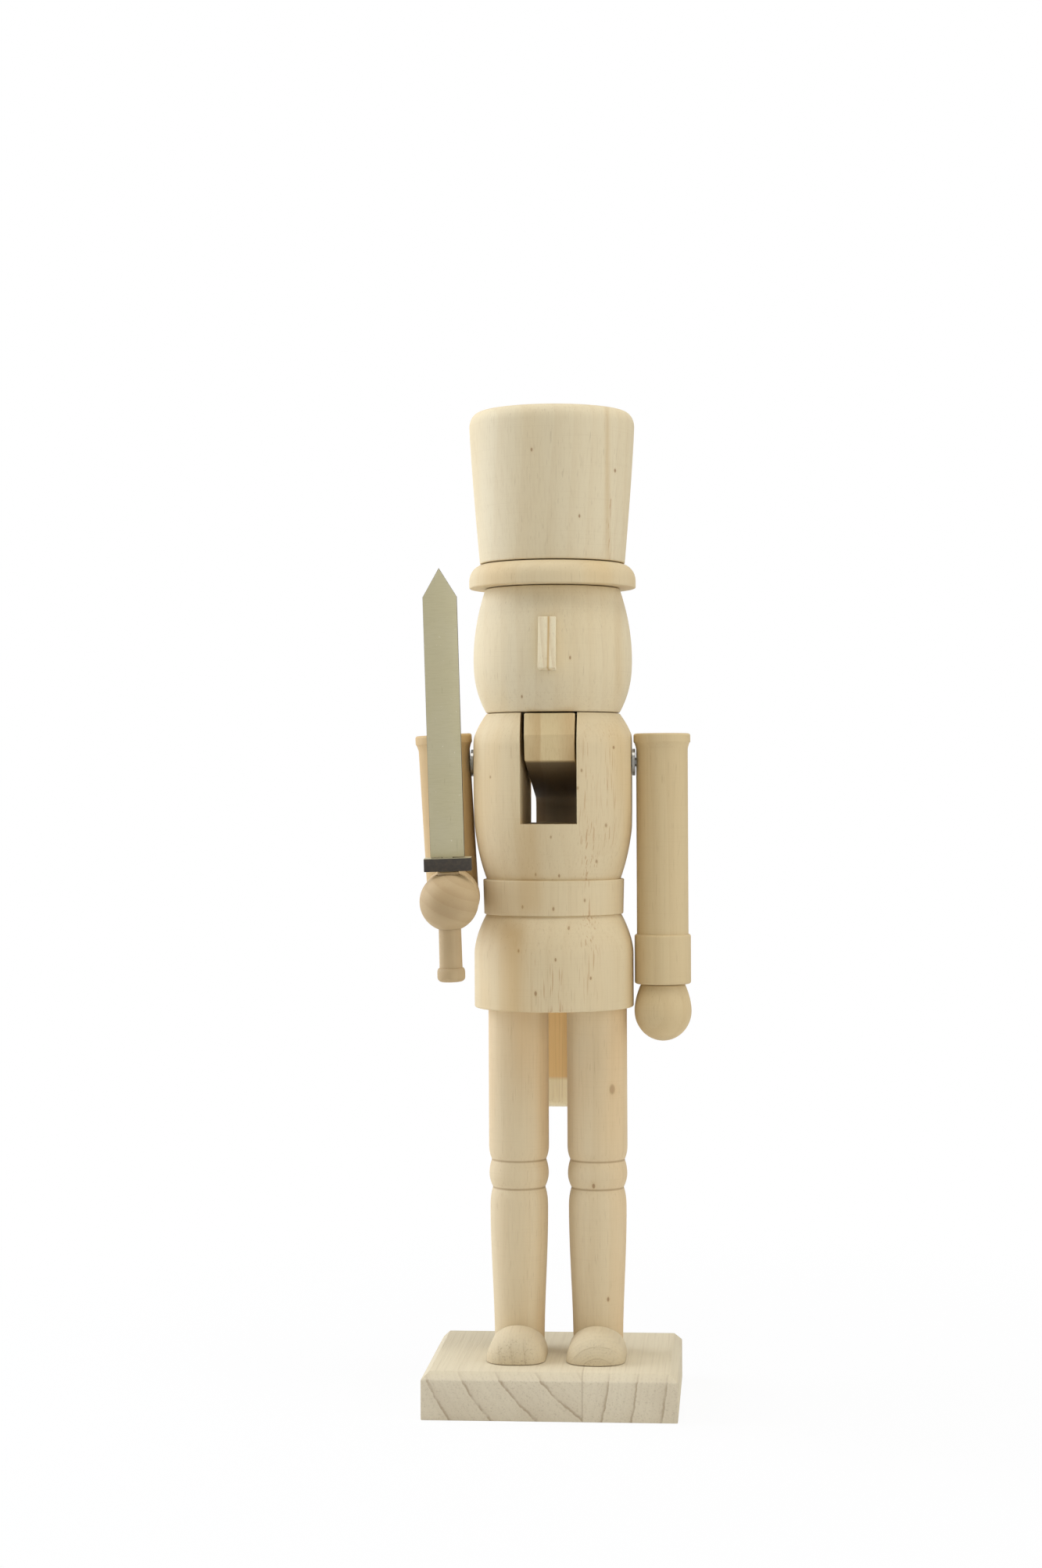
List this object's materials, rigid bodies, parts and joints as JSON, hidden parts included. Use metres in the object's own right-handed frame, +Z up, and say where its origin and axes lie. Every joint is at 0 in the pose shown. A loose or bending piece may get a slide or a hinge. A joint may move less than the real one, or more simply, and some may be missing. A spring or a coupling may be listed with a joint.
{
  "type": "unpainted nutcracker",
  "caption": "Free-standing bare-wood soldier with a hinged jaw lever, a straight swinging arm, a bent arm holding a flat sword, a tall hat and a chamfered base.",
  "frame": {"origin": "centre of the base block's underside", "axes": "+Z up along the figure, -Y the way the figure faces, +X towards the figure's own left arm"},
  "size_m": [0.1066, 0.0995, 0.3806],
  "materials": {
    "pale_wood": "bare sanded pale hardwood, turned, with fine grain and pin knots",
    "tan_wood": "bare sanded tan hardwood, turned",
    "sawn_wood": "bare sawn softwood with end grain to the front",
    "jaw_wood": "bare sawn board, slightly yellow",
    "dowel_wood": "bare dowel rod",
    "steel": "plain steel",
    "silver_paint": "thin board with a dull silver face and dark cut edges",
    "dark_edge": "thin board with dark cut edges and a silver top"
  },
  "bodies": {
    "figure": {"base": "sawn_wood", "left_shoe": "sawn_wood", "right_shoe": "sawn_wood", "left_leg": "pale_wood", "right_leg": "pale_wood", "left_leg_screw": "steel", "right_leg_screw": "steel", "left_leg_dowel": "dowel_wood", "right_leg_dowel": "dowel_wood", "body": "pale_wood", "pivot_pin": "steel", "head": "pale_wood", "nose": "pale_wood", "neck_dowel_left": "dowel_wood", "neck_dowel_right": "dowel_wood", "hat_brim": "pale_wood", "hat_crown": "pale_wood", "hat_dowel": "dowel_wood", "left_shoulder_pin": "steel", "left_shoulder_washer": "steel", "right_shoulder_pin": "steel", "right_shoulder_washer": "steel"},
    "jaw": {"jaw_lever": "jaw_wood"},
    "straight_arm": {"left_arm": "tan_wood", "left_hand": "tan_wood", "left_hand_dowel": "dowel_wood"},
    "sword_arm": {"right_upper_arm": "tan_wood", "right_forearm": "tan_wood", "elbow_dowel": "dowel_wood", "right_hand": "tan_wood", "right_hand_dowel": "dowel_wood", "sword_grip": "tan_wood", "sword_guard": "dark_edge", "sword_blade": "silver_paint"}
  },
  "joints": [
    {"name": "jaw_hinge", "type": "hinge", "parent": "figure", "child": "jaw", "pos_m": [0, 0.012, 0.246], "axis": [1, 0, 0], "range_deg": [0, 30]},
    {"name": "straight_arm_swing", "type": "hinge", "parent": "figure", "child": "straight_arm", "pos_m": [0.04205, 0, 0.2456], "axis": [-1, 0, 0], "range_deg": [-90, 165]},
    {"name": "sword_arm_swing", "type": "hinge", "parent": "figure", "child": "sword_arm", "pos_m": [-0.04205, 0, 0.2456], "axis": [-1, 0, 0], "range_deg": [-15, 40]}
  ]
}
